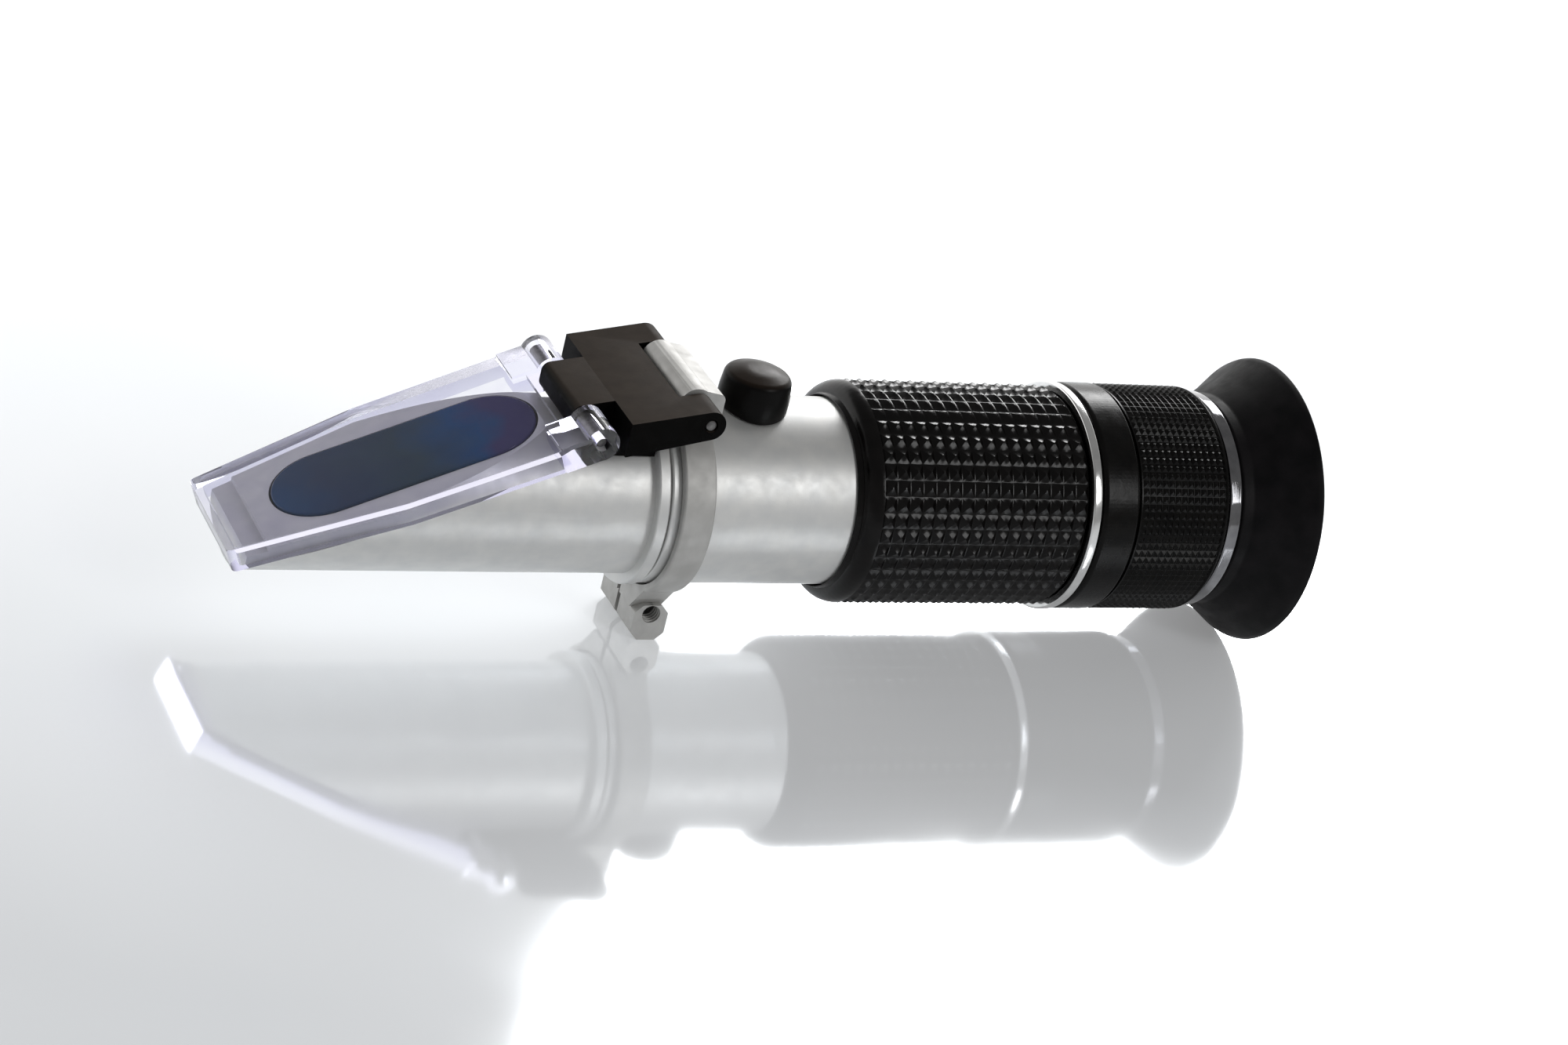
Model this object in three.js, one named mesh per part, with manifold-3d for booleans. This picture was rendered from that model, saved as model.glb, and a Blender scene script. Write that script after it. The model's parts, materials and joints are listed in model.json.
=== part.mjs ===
// Handheld brix refractometer: a prism end under a clear daylight plate, a clamp collar that carries
// the plate's hinge, a main tube with a calibration screw, a rubber grip and a helical focusing eyepiece.
// Millimetres, +Z up, +X along the optical axis towards the eye. The instrument stands on its clamp lug
// and on the rim of its eyecup, both at Z 0, and is centred on X and Y.
import * as THREE from "three";
import { mergeVertices } from "three/addons/utils/BufferGeometryUtils.js";
import Module from "manifold-3d";

const wasm = await Module();
wasm.setup();

// ---- driving dimensions -------------------------------------------------------------------------
const AXIS_HEIGHT = 21; // optical axis above the ground, which is also the eyecup's rim radius
const HALF_LENGTH = 80; // the plate's tip is at -HALF_LENGTH and the eyecup's rim at +HALF_LENGTH
const GAP = 0.3; // between pieces that touch
const AROUND = 40; // facets of a large turned part
const FINE = 20; // facets of a small turned part

const HOUSING_R = 12;
const HOUSING_FRONT = -76.8;
const HOUSING_REAR = -21.8;
const HOUSING_FLANGE_R = 13.5;
const FRONT_STEP_REAR = -74.2; // a shallow step across the front of the measuring face
const FRONT_STEP_DEPTH = 0.5;
const APERTURE_R = 4.2;
const TUBE_FRONT = -19.8;
const TUBE_REAR = 43.8;
const TUBE_R = 13.26;
const TUBE_BORE_R = 12;
const SPIGOT_R = TUBE_BORE_R - GAP; // anything that slides into the main tube
const LIGHT_PATH_R = 7;

const SLOPE = THREE.MathUtils.degToRad(23.3); // the measuring face rises towards the eye
const PLATE_TIP_Z = -5.6; // top of the plate's tip, from the axis
const PLATE_DEPTH = 3.4;
const PLATE_SKIN = 1.4;
const PLATE_WALL = 1.3;
const PLATE_TIP_HALF = 9.7;
const PLATE_BEND_HALF = 13.3;
const PLATE_BEND_AT = 24; // along the slope from the tip
const PLATE_REAR_HALF = 13.8;
const PRISM_DROP = PLATE_SKIN + GAP; // prism face under the plate's top
const FACE_DROP = PRISM_DROP + 0.2; // housing face, so the prism stands a little proud
const LEDGE_DROP = PLATE_DEPTH + GAP; // where the plate's walls come down beside the face
const PRISM_HALF = 7.4;
const PRISM_HALF_LENGTH = 18.6;
const PRISM_CENTRE = 27.4; // along the slope from the plate's tip
const PRISM_DEPTH = 4.9;

const FLAP_AXIS = { x: -17.2, z: 16.6 }; // pin between the collar's boss and the hinge block
const PLATE_AXIS = { x: -32.5, z: 13.6 }; // pin between the hinge block and the plate
const BLOCK_HALF = 13.4;
const BLOCK_FRONT = -28.7;
const BLOCK_SLOT_FRONT = -20.3;
const BLOCK_SLOT_HALF = 7.9;
const BLOCK_END_R = 2.1;
const BLOCK_TOP_SLOPE = THREE.MathUtils.degToRad(11);
const BLOCK_BOTTOM_SLOPE = THREE.MathUtils.degToRad(14);
const TONGUE_REACH = 1.9; // from the plate's pin to the front and the underside of the tongue
const TONGUE_HALF = 6.5;
const TONGUE_SWEEP = 3.6; // clears the tongue's corners as the plate rocks on its pin
const LUG_R = 2.4;
const FLAT_Z = 11; // flat on the housing's crown, below the tongue
const PIN_R = 0.8;
const PIN_HOLE_R = 0.95;

const COLLAR = { front: -18.5, rear: -13.8, r: 14.57 };
const COLLAR_SPLIT = 1;
const LUG_BLOCK = { front: -18.2, rear: -13.1, half: 6.1, top: -15.5, neck: 4.4 };
const CLAMP_SCREW = { x: -15.65, z: -16.9 };
const BOSS_HALF = 7.4;
const BOSS_REAR = -13;
const BOSS_R = 2.5;

const SEAL = { x: -15.2, r: 11.4, section: 0.5 };
const SCREW_X = -5.1; // calibration screw
const CAP_R = 5.1;
const CAP_TOP = 19;

const RETICLE = { tubeFront: 0, tubeRear: 35, seat: 30.6, r: 9, thick: 1.2 };
const GRIP = { front: 8.05, rear: 43.8, r: 15.95 };
const END_RING = { front: 44.1, rear: 45.5, r: 16.6, neck: 13.3, neckRear: 60 };
const FOCUS = { front: 45.8, rear: 66.8, r: 16.5, web: 61.5, groove: 52 };
const TRIM = { front: 67.1, rear: 69.3, r: 15.9 };
const EYEPIECE = { front: 36, rear: 69.3, r: 9.6, bore: 7.4 };
const CUP = { front: 69.6, neck: 15.4, floor: 71.5 };

// ---- solids -------------------------------------------------------------------------------------
function solid(geometry) {
  const bare = geometry.clone();
  for (const name of ["normal", "uv"]) bare.deleteAttribute(name);
  const merged = mergeVertices(bare, 1e-4);
  const triVerts = new Uint32Array(merged.index.array);
  const vertProperties = merged.attributes.position.array;
  const made = new wasm.Manifold(new wasm.Mesh({ numProp: 3, vertProperties, triVerts }));
  if (made.volume() > 0) return made;
  for (let i = 0; i < triVerts.length; i += 3) {
    [triVerts[i + 1], triVerts[i + 2]] = [triVerts[i + 2], triVerts[i + 1]];
  }
  return new wasm.Manifold(new wasm.Mesh({ numProp: 3, vertProperties, triVerts }));
}

const join = (first, ...others) => others.reduce((all, one) => all.add(one), first);
const cut = (first, ...tools) => tools.reduce((all, one) => all.subtract(one), first);

// Revolves [x, radius] points about the optical axis. A profile that leaves the axis is closed.
function turned(profile, facets = AROUND) {
  const points = profile.map(([x, r]) => new THREE.Vector2(r, x));
  if (profile[0][1] > 0) points.push(points[0].clone());
  return solid(new THREE.LatheGeometry(points, facets).rotateZ(-Math.PI / 2));
}

const disc = (front, rear, r, facets) =>
  turned([[front, 0], [front, r], [rear, r], [rear, 0]], facets);

const ring = (front, rear, inner, outer, facets) =>
  turned([[front, inner], [front, outer], [rear, outer], [rear, inner]], facets);

// Two convex faces, ground on radii that meet the stated edge thickness.
function lens(front, rear, r, bulge) {
  const steps = 3;
  const side = (x, sign) => Array.from({ length: steps + 1 }, (_, i) => {
    const radius = (r * i) / steps;
    return [x + sign * bulge * (radius / r) ** 2, radius];
  });
  return turned([...side(front, 1), ...side(rear, -1).reverse()], FINE);
}

function block(x0, x1, y0, y1, z0, z1) {
  const shape = new THREE.BoxGeometry(x1 - x0, y1 - y0, z1 - z0);
  return solid(shape.translate((x0 + x1) / 2, (y0 + y1) / 2, (z0 + z1) / 2));
}

// A cylinder across the instrument (along Y) or upright (along Z).
const crosswise = (r, x, z, y0, y1, facets = FINE) =>
  solid(new THREE.CylinderGeometry(r, r, y1 - y0, facets).translate(x, (y0 + y1) / 2, z));

const upright = (r, x, z0, z1, facets = FINE) =>
  solid(new THREE.CylinderGeometry(r, r, z1 - z0, facets).rotateX(Math.PI / 2)
    .translate(x, 0, (z0 + z1) / 2));

// Extrudes a shape drawn in X and Z across the instrument, from y0 to y1.
function across(shape, y0, y1) {
  const made = new THREE.ExtrudeGeometry(shape, { depth: y1 - y0, bevelEnabled: false, curveSegments: 6 });
  return solid(made.rotateX(Math.PI / 2).translate(0, y1, 0));
}

// Extrudes a shape drawn in Y and Z along the instrument, from x0 to x1.
function extrudedAlong(shape, x0, x1) {
  const made = new THREE.ExtrudeGeometry(shape, { depth: x1 - x0, bevelEnabled: false });
  return solid(made.rotateX(Math.PI / 2).rotateZ(Math.PI / 2).translate(x0, 0, 0));
}

// Extrudes an outline drawn on the sloping face, from low to high along the face's normal.
function onSlope(shape, low, high) {
  const settings = { depth: high - low, bevelEnabled: false, curveSegments: 10 };
  const made = new THREE.ExtrudeGeometry(shape, settings);
  return solid(made.translate(0, 0, low).rotateY(-SLOPE).translate(-HALF_LENGTH, 0, PLATE_TIP_Z));
}

// Everything between two heights above the slope, as far as s along it.
const slopeSlab = (low, high, s = 80) =>
  onSlope(polygon([[-10, -30], [s, -30], [s, 30], [-10, 30]]), low, high);

function polygon(points) {
  return new THREE.Shape(points.map(([a, b]) => new THREE.Vector2(a, b)));
}

function stadium(centre, halfLength, half) {
  const shape = new THREE.Shape();
  const straight = halfLength - half;
  shape.absarc(centre + straight, 0, half, -Math.PI / 2, Math.PI / 2);
  shape.absarc(centre - straight, 0, half, Math.PI / 2, (3 * Math.PI) / 2);
  return shape;
}

const toSlope = ({ x, z }) => ({
  s: (x + HALF_LENGTH) * Math.cos(SLOPE) + (z - PLATE_TIP_Z) * Math.sin(SLOPE),
  n: (z - PLATE_TIP_Z) * Math.cos(SLOPE) - (x + HALF_LENGTH) * Math.sin(SLOPE),
});
const PLATE_AXIS_ON_SLOPE = toSlope(PLATE_AXIS);
const PLATE_REAR = PLATE_AXIS_ON_SLOPE.s - TONGUE_SWEEP;

// The plate's outline on the slope, drawn in by inset on every side.
function plateOutline(inset, rear = PLATE_REAR) {
  const tip = inset;
  const corner = 0.8;
  const half = [
    [tip, PLATE_TIP_HALF - inset - corner],
    [tip + corner, PLATE_TIP_HALF - inset],
    [PLATE_BEND_AT, PLATE_BEND_HALF - inset],
    [rear - inset, PLATE_REAR_HALF - inset],
  ];
  return polygon([...half, ...half.map(([s, y]) => [s, -y]).reverse()]);
}

// ---- prism end ----------------------------------------------------------------------------------
const SKY = 40; // clears everything above the slope

function prismHousing() {
  const tube = join(
    disc(HOUSING_FRONT, HOUSING_REAR, HOUSING_R),
    disc(HOUSING_REAR - 0.1, TUBE_FRONT - GAP, HOUSING_FLANGE_R),
    disc(TUBE_FRONT - 0.5, -12, SPIGOT_R),
  );
  const aboveFace = slopeSlab(-FACE_DROP, SKY).intersect(block(-90, -28, -30, 30, -30, SKY));
  const besideFace = cut(
    slopeSlab(-LEDGE_DROP, 0, 46),
    onSlope(plateOutline(PLATE_WALL + GAP, 60), -LEDGE_DROP - 1, 1),
  );
  const frontStep = slopeSlab(-FACE_DROP - FRONT_STEP_DEPTH, 0, 30)
    .intersect(block(-90, FRONT_STEP_REAR, -20, 20, -20, 0));
  const pocket = onSlope(
    stadium(PRISM_CENTRE, PRISM_HALF_LENGTH + GAP, PRISM_HALF + GAP),
    -PRISM_DROP - PRISM_DEPTH - GAP, 0,
  );
  const crownFlat = block(PLATE_AXIS.x - 2 * LUG_R, BLOCK_FRONT + 1, -20, 20, FLAT_Z, SKY);
  const sealGroove = ring(SEAL.x - 0.8, SEAL.x + 0.8, SEAL.r - 0.6, SPIGOT_R + 1);
  const lightPath = disc(-42, 0, LIGHT_PATH_R);
  return cut(tube, aboveFace, besideFace, frontStep, pocket, crownFlat, sealGroove, lightPath);
}

const measuringPrism = () =>
  onSlope(stadium(PRISM_CENTRE, PRISM_HALF_LENGTH, PRISM_HALF), -PRISM_DROP - PRISM_DEPTH, -PRISM_DROP);

const apertureStop = () => ring(-24, -22.6, APERTURE_R, LIGHT_PATH_R - GAP, FINE);

// ---- clamp collar, hinge block and daylight plate -----------------------------------------------
function clampCollar() {
  const band = ring(COLLAR.front, COLLAR.rear, TUBE_R + GAP, COLLAR.r);
  const { front, rear, half, top, neck } = LUG_BLOCK;
  const chamfer = 1.2;
  const lugProfile = polygon([
    [front + chamfer, top], [front, top - chamfer], [front, -AXIS_HEIGHT + chamfer],
    [front + chamfer, -AXIS_HEIGHT], [rear - chamfer, -AXIS_HEIGHT], [rear, -AXIS_HEIGHT + chamfer],
    [rear, top - chamfer], [rear - chamfer, top],
  ]);
  const bossProfile = polygon([
    [COLLAR.front, 12], [BOSS_REAR, 12], [BOSS_REAR, 17.6], [BOSS_REAR - 0.8, 18.4], [-16.6, 18.9],
    [-19, 14.8],
  ]);
  const ears = extrudedAlong(
    polygon([[-10.2, -9], [-neck, top - 1], [neck, top - 1], [10.2, -9]]), COLLAR.front, COLLAR.rear);
  const boss = join(
    across(bossProfile, -BOSS_HALF, BOSS_HALF),
    crosswise(BOSS_R, FLAP_AXIS.x, FLAP_AXIS.z, -BOSS_HALF, BOSS_HALF),
  );
  const clearOfTube = disc(COLLAR.front - 2, COLLAR.rear + 2, TUBE_R + GAP);
  const { x, z } = CLAMP_SCREW;
  return cut(
    join(band, ears, across(lugProfile, -half, half), boss),
    clearOfTube,
    ring(-25, COLLAR.front - 0.01, 0.5, 14.2),
    block(COLLAR.front - 5, COLLAR.rear + 5, -COLLAR_SPLIT / 2, COLLAR_SPLIT / 2, -30, -5),
    crosswise(1.95, x, z, 3.4, half + 1),
    crosswise(1.35, x, z, -half - 1, half + 1),
    crosswise(PIN_HOLE_R, FLAP_AXIS.x, FLAP_AXIS.z, -BOSS_HALF - 1, BOSS_HALF + 1),
  );
}

function clampScrew() {
  const { x, z } = CLAMP_SCREW;
  return cut(
    join(crosswise(1.65, x, z, 3.7, 5.5), crosswise(1.1, x, z, -5, 3.8)),
    crosswise(0.8, x, z, 4.3, 6, 6),
  );
}

function hingeBlock() {
  const top = (x) => FLAP_AXIS.z + BLOCK_END_R / Math.cos(BLOCK_TOP_SLOPE)
    + (x - FLAP_AXIS.x) * Math.tan(BLOCK_TOP_SLOPE);
  const bottom = (x) => FLAP_AXIS.z - BLOCK_END_R / Math.cos(BLOCK_BOTTOM_SLOPE)
    + (x - FLAP_AXIS.x) * Math.tan(BLOCK_BOTTOM_SLOPE);
  const side = new THREE.Shape();
  side.moveTo(BLOCK_FRONT, bottom(BLOCK_FRONT));
  side.lineTo(BLOCK_FRONT, top(BLOCK_FRONT));
  side.absarc(FLAP_AXIS.x, FLAP_AXIS.z, BLOCK_END_R, Math.PI / 2 + BLOCK_TOP_SLOPE,
    -Math.PI / 2 + BLOCK_BOTTOM_SLOPE, true);
  const saddle = polygon([
    [BLOCK_FRONT, 9.3], [HOUSING_REAR - GAP, 9.3], [HOUSING_REAR - GAP, top(HOUSING_REAR) - 1],
    [BLOCK_FRONT, top(BLOCK_FRONT) - 1],
  ]);
  const [front, under] = [PLATE_AXIS.x - TONGUE_REACH, PLATE_AXIS.z - TONGUE_REACH];
  const tongue = polygon([
    [front + 1, under], [BLOCK_FRONT + 1, under], [BLOCK_FRONT + 1, top(BLOCK_FRONT + 1)],
    [front + 1, top(front + 1)], [front, top(front) - 1], [front, under + 1],
  ]);
  return cut(
    join(
      across(side, -BLOCK_HALF, BLOCK_HALF),
      across(saddle, -8.6, 8.6),
      across(tongue, -TONGUE_HALF, TONGUE_HALF),
    ),
    block(BLOCK_SLOT_FRONT, 0, -BLOCK_SLOT_HALF, BLOCK_SLOT_HALF, 0, SKY),
    disc(-40, HOUSING_REAR - GAP + 0.01, HOUSING_R + GAP),
    disc(HOUSING_REAR - GAP, -10, HOUSING_FLANGE_R + GAP),
    block(-40, BLOCK_FRONT + 0.5, -TONGUE_HALF - 1, TONGUE_HALF + 1, 0, FLAT_Z + GAP),
    crosswise(PIN_HOLE_R, FLAP_AXIS.x, FLAP_AXIS.z, -BLOCK_HALF - 1, BLOCK_HALF + 1),
    crosswise(PIN_HOLE_R, PLATE_AXIS.x, PLATE_AXIS.z, -TONGUE_HALF - 1, TONGUE_HALF + 1),
  );
}

const hingePin = () =>
  crosswise(PIN_R, FLAP_AXIS.x, FLAP_AXIS.z, -BLOCK_HALF + 0.1, BLOCK_HALF - 0.1);

const platePin = () =>
  crosswise(PIN_R, PLATE_AXIS.x, PLATE_AXIS.z, -PLATE_REAR_HALF + 0.8, PLATE_REAR_HALF - 0.8);

function daylightPlate() {
  const inner = TONGUE_HALF + 0.4;
  const { s, n } = PLATE_AXIS_ON_SLOPE;
  const shell = cut(
    onSlope(plateOutline(0), -PLATE_DEPTH, 0),
    onSlope(plateOutline(PLATE_WALL), -PLATE_DEPTH - 1, -PLATE_SKIN),
  );
  const lugs = [-1, 1].map((side) => {
    const [y0, y1] = side < 0 ? [-PLATE_REAR_HALF, -inner] : [inner, PLATE_REAR_HALF];
    const arm = onSlope(polygon([[PLATE_REAR - 2, y0], [s, y0], [s, y1], [PLATE_REAR - 2, y1]]),
      n - LUG_R + 0.05, n + LUG_R - 0.9);
    return join(arm, crosswise(LUG_R, PLATE_AXIS.x, PLATE_AXIS.z, y0, y1));
  });
  const rearOpening = onSlope(
    polygon([[PLATE_REAR - 8, -inner], [s + 9, -inner], [s + 9, inner], [PLATE_REAR - 8, inner]]),
    -PLATE_DEPTH - 3, -PLATE_SKIN,
  );
  const pinHole = crosswise(PIN_HOLE_R, PLATE_AXIS.x, PLATE_AXIS.z, -20, 20);
  const besideTube = cut(disc(-40, -20, HOUSING_R + GAP), slopeSlab(-PRISM_DROP, SKY));
  return cut(join(shell, ...lugs), rearOpening, pinHole, besideTube);
}

// ---- main tube, calibration screw and grip ------------------------------------------------------
const mainTube = () => cut(
  ring(TUBE_FRONT, TUBE_REAR, TUBE_BORE_R, TUBE_R),
  upright(3, SCREW_X, 5, 20),
);

function tubeSeal() {
  const sides = 6;
  const points = Array.from({ length: sides }, (_, i) => {
    const turn = (-i * 2 * Math.PI) / sides;
    return [SEAL.x + SEAL.section * Math.cos(turn), SEAL.r + SEAL.section * Math.sin(turn)];
  });
  return turned(points);
}

const objectiveCell = () => cut(
  ring(SCREW_X - 4.35, SCREW_X + 4.35, LIGHT_PATH_R, 10.4),
  upright(1.6, SCREW_X, 7.8, 12),
);

const objectiveLens = () => lens(SCREW_X - 2.4, SCREW_X + 2.4, LIGHT_PATH_R - GAP, 1.4);

const calibrationBush = () => cut(
  join(upright(2.7, SCREW_X, 12.2, 14), upright(3.9, SCREW_X, TUBE_R + GAP, 17.2)),
  upright(1.6, SCREW_X, 10, 20),
  upright(2.9, SCREW_X, 15.2, 20),
);

const calibrationScrew = () => cut(
  join(upright(1.3, SCREW_X, 8.9, 15.8), upright(2.5, SCREW_X, 15.5, 16.8)),
  block(SCREW_X - 4, SCREW_X + 4, -0.35, 0.35, 16.1, 18),
);

function calibrationCap() {
  const profile = [
    [8, 0], [8, CAP_R - 0.35], [15, CAP_R], [17.2, CAP_R - 0.1], [18.2, CAP_R - 0.7],
    [CAP_TOP - 0.2, CAP_R - 2], [CAP_TOP, 0],
  ];
  const body = new THREE.LatheGeometry(profile.map(([z, r]) => new THREE.Vector2(r, z)), FINE);
  const standing = solid(body.rotateX(Math.PI / 2).translate(SCREW_X, 0, 0));
  return cut(standing, upright(4.2, SCREW_X, 5, 17.5), disc(-15, 5, TUBE_R + GAP));
}

const reticleTube = () => cut(
  ring(RETICLE.tubeFront, RETICLE.tubeRear, LIGHT_PATH_R, SPIGOT_R),
  disc(RETICLE.seat, RETICLE.tubeRear + 1, RETICLE.r + GAP),
);

const reticleDisc = () =>
  disc(RETICLE.seat + GAP, RETICLE.seat + GAP + RETICLE.thick, RETICLE.r, FINE);

const reticleRetainer = () =>
  ring(RETICLE.seat + RETICLE.thick + 2 * GAP, RETICLE.tubeRear - GAP, LIGHT_PATH_R, RETICLE.r, FINE);

function gripSleeve() {
  const { front, rear, r } = GRIP;
  const inner = TUBE_R + GAP;
  return turned([
    [front, inner], [front, inner + 0.5], [front + 0.9, r - 1.2], [front + 1.9, r - 0.6],
    [front + 3, r - 0.4], [front + 3.1, r], [rear, r], [rear, inner],
  ]);
}

// ---- eyepiece -----------------------------------------------------------------------------------
const tubeEndRing = () => cut(
  join(
    ring(36, END_RING.front + 0.1, EYEPIECE.r + GAP, SPIGOT_R),
    ring(END_RING.front, END_RING.rear, EYEPIECE.r + GAP, END_RING.r),
    ring(END_RING.rear - 0.1, END_RING.neckRear, EYEPIECE.r + GAP, END_RING.neck),
  ),
  upright(1.1, 52, 5, 20),
);

const guideScrew = () => upright(0.9, 52, 8.7, END_RING.neck - 0.2);

const eyepieceTube = () => cut(
  join(
    ring(EYEPIECE.front, EYEPIECE.rear, EYEPIECE.bore, EYEPIECE.r),
    ring(TRIM.front, TRIM.front + 1.2, EYEPIECE.r - 0.1, 11.5),
  ),
  block(47.4, 53.4, -1.2, 1.2, 8.3, 12),
);

const lensR = EYEPIECE.bore - GAP;
const fieldLens = () => lens(40, 43, lensR, 0.8);
const lensSpacer = () => ring(43.3, 63.2, 6.2, lensR, FINE);
const eyeLens = () => lens(63.5, 67.8, lensR, 1.2);
const lensRetainer = () => ring(68.1, 69.2, 6.2, lensR, FINE);

function focusRing() {
  const { front, rear, r, web, groove } = FOCUS;
  const bore = END_RING.neck + GAP;
  const hub = EYEPIECE.r + GAP;
  return turned([
    [front, bore], [front, r - 0.5], [front + 0.8, r], [groove - 0.3, r], [groove, r - 0.3],
    [groove + 0.3, r], [rear - 0.5, r], [rear, r - 0.5], [rear, hub], [web, hub], [web, bore],
  ]);
}

const eyecupTrimRing = () => ring(TRIM.front, TRIM.rear, 11.8, TRIM.r);

function eyecup() {
  const { front, neck, floor } = CUP;
  const rim = AXIS_HEIGHT;
  return turned([
    [front, 9.9], [front, neck], [71, neck + 0.3], [74.5, 17.4], [78.6, 20.6], [79.3, rim], [79.7, rim],
    [HALF_LENGTH, rim - 0.4], [HALF_LENGTH, rim - 1.5], [floor, 13.2], [floor, 9.9],
  ]);
}

// ---- assembly -----------------------------------------------------------------------------------
const finishes = {
  aluminium: { color: 0xc9cac8, roughness: 0.35, metalness: 0.9 },
  steel: { color: 0x9c9c9a, roughness: 0.25, metalness: 1 },
  brass: { color: 0xb08d4a, roughness: 0.35, metalness: 1 },
  blackMetal: { color: 0x161616, roughness: 0.6, metalness: 0.4 },
  blackPlastic: { color: 0x211f1d, roughness: 0.45, metalness: 0 },
  rubber: { color: 0x141211, roughness: 0.55, metalness: 0 },
  clearPlastic: { color: 0xe6e4f4, roughness: 0.05, metalness: 0, transparent: true, opacity: 0.35 },
  glass: { color: 0xdfeaf0, roughness: 0.02, metalness: 0, transparent: true, opacity: 0.4 },
  prismGlass: { color: 0x2c4a78, roughness: 0.05, metalness: 0, transparent: true, opacity: 0.8 },
};

const pieces = {
  prism_housing: [prismHousing, finishes.aluminium],
  measuring_prism: [measuringPrism, finishes.prismGlass],
  aperture_stop: [apertureStop, finishes.blackMetal],
  clamp_collar: [clampCollar, finishes.aluminium],
  clamp_screw: [clampScrew, finishes.steel],
  hinge_pin: [hingePin, finishes.steel],
  hinge_block: [hingeBlock, finishes.blackPlastic],
  plate_pin: [platePin, finishes.steel],
  daylight_plate: [daylightPlate, finishes.clearPlastic],
  main_tube: [mainTube, finishes.aluminium],
  tube_seal: [tubeSeal, finishes.rubber],
  objective_cell: [objectiveCell, finishes.blackMetal],
  objective_lens: [objectiveLens, finishes.glass],
  calibration_bush: [calibrationBush, finishes.brass],
  calibration_screw: [calibrationScrew, finishes.steel],
  calibration_cap: [calibrationCap, finishes.rubber],
  reticle_tube: [reticleTube, finishes.blackMetal],
  reticle_disc: [reticleDisc, finishes.glass],
  reticle_retainer: [reticleRetainer, finishes.blackMetal],
  grip_sleeve: [gripSleeve, finishes.rubber],
  tube_end_ring: [tubeEndRing, finishes.aluminium],
  guide_screw: [guideScrew, finishes.steel],
  eyepiece_tube: [eyepieceTube, finishes.blackMetal],
  field_lens: [fieldLens, finishes.glass],
  lens_spacer: [lensSpacer, finishes.blackMetal],
  eye_lens: [eyeLens, finishes.glass],
  lens_retainer: [lensRetainer, finishes.blackMetal],
  focus_ring: [focusRing, finishes.blackPlastic],
  eyecup_trim_ring: [eyecupTrimRing, finishes.aluminium],
  eyecup: [eyecup, finishes.rubber],
};

function meshOf(name, made, finish) {
  const { vertProperties, triVerts } = made.getMesh();
  const geometry = new THREE.BufferGeometry()
    .setAttribute("position", new THREE.BufferAttribute(vertProperties, 3))
    .setIndex(new THREE.BufferAttribute(triVerts, 1));
  geometry.computeVertexNormals();
  const mesh = new THREE.Mesh(geometry, new THREE.MeshStandardMaterial(finish));
  mesh.name = name;
  return mesh;
}

const refractometer = new THREE.Group();
refractometer.position.z = AXIS_HEIGHT;
for (const [name, [make, finish]] of Object.entries(pieces)) {
  refractometer.add(meshOf(name, make(), finish));
}

export default refractometer;
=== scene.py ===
"""Handheld brix refractometer: its fine surfaces, materials, camera and studio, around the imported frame."""
import json
import math

import bmesh
import bpy
from mathutils import Matrix, Vector


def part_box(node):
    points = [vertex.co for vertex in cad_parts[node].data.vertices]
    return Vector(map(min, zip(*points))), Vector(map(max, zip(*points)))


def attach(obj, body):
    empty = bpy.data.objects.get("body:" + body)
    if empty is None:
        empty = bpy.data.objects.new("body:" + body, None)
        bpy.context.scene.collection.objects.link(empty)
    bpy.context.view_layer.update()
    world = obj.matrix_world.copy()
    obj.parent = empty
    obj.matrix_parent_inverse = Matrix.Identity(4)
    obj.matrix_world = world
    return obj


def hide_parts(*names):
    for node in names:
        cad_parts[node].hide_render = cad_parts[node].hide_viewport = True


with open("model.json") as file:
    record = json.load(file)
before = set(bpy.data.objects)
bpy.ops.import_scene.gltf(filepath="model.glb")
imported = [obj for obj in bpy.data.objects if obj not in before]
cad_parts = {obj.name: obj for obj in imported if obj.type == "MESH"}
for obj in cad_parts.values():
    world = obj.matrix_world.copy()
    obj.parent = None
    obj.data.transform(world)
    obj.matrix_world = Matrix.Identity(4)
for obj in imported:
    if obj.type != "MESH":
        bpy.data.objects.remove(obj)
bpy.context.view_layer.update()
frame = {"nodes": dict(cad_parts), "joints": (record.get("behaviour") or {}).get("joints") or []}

# ---- sizes, in millimetres from the optical axis -------------------------------------------------
MM = 0.001
GAP = 0.3  # between pieces that touch
AROUND = 192  # facets of a large turned piece
FINE = 96  # facets of a small turned piece


def span(node):
    """Front, rear and radius of a CAD node that is turned about the optical axis."""
    low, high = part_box(node)
    return low.x / MM, high.x / MM, (high.y - low.y) / 2 / MM


TUBE_FRONT, TUBE_REAR, TUBE_R = span("main_tube")
AXIS_Z = (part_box("main_tube")[0].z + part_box("main_tube")[1].z) / 2
TO_METRES = Matrix.Translation((0, 0, AXIS_Z)) @ Matrix.Scale(MM, 4)
GRIP_FRONT, GRIP_REAR, GRIP_R = span("grip_sleeve")
FOCUS_FRONT, FOCUS_REAR, FOCUS_R = span("focus_ring")
TRIM_FRONT, TRIM_REAR, TRIM_R = span("eyecup_trim_ring")
CUP_FRONT, CUP_REAR, CUP_R = span("eyecup")
RING_FRONT, RING_NECK_REAR, RING_R = span("tube_end_ring")
LENS_FRONT, LENS_REAR, LENS_R = span("eye_lens")
EYE_TUBE_R = 9.6
EYE_BORE_R = 7.4
EYE_FLANGE_R = 11.5
RETAINER_BORE_R = 6.2
NECK_R = 13.3  # of the end ring, which the focusing ring turns on
FOCUS_WEB_FRONT = 61.5
TRIM_BORE_R = 11.8
CUP_HUB_R = 9.9
CUP_WEB_REAR = 71.5
GUIDE_SLOT = (47.4, 53.4)
GUIDE_SLOT_HALF = 1.2
GRIP_COLLAR = 3.3
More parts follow.
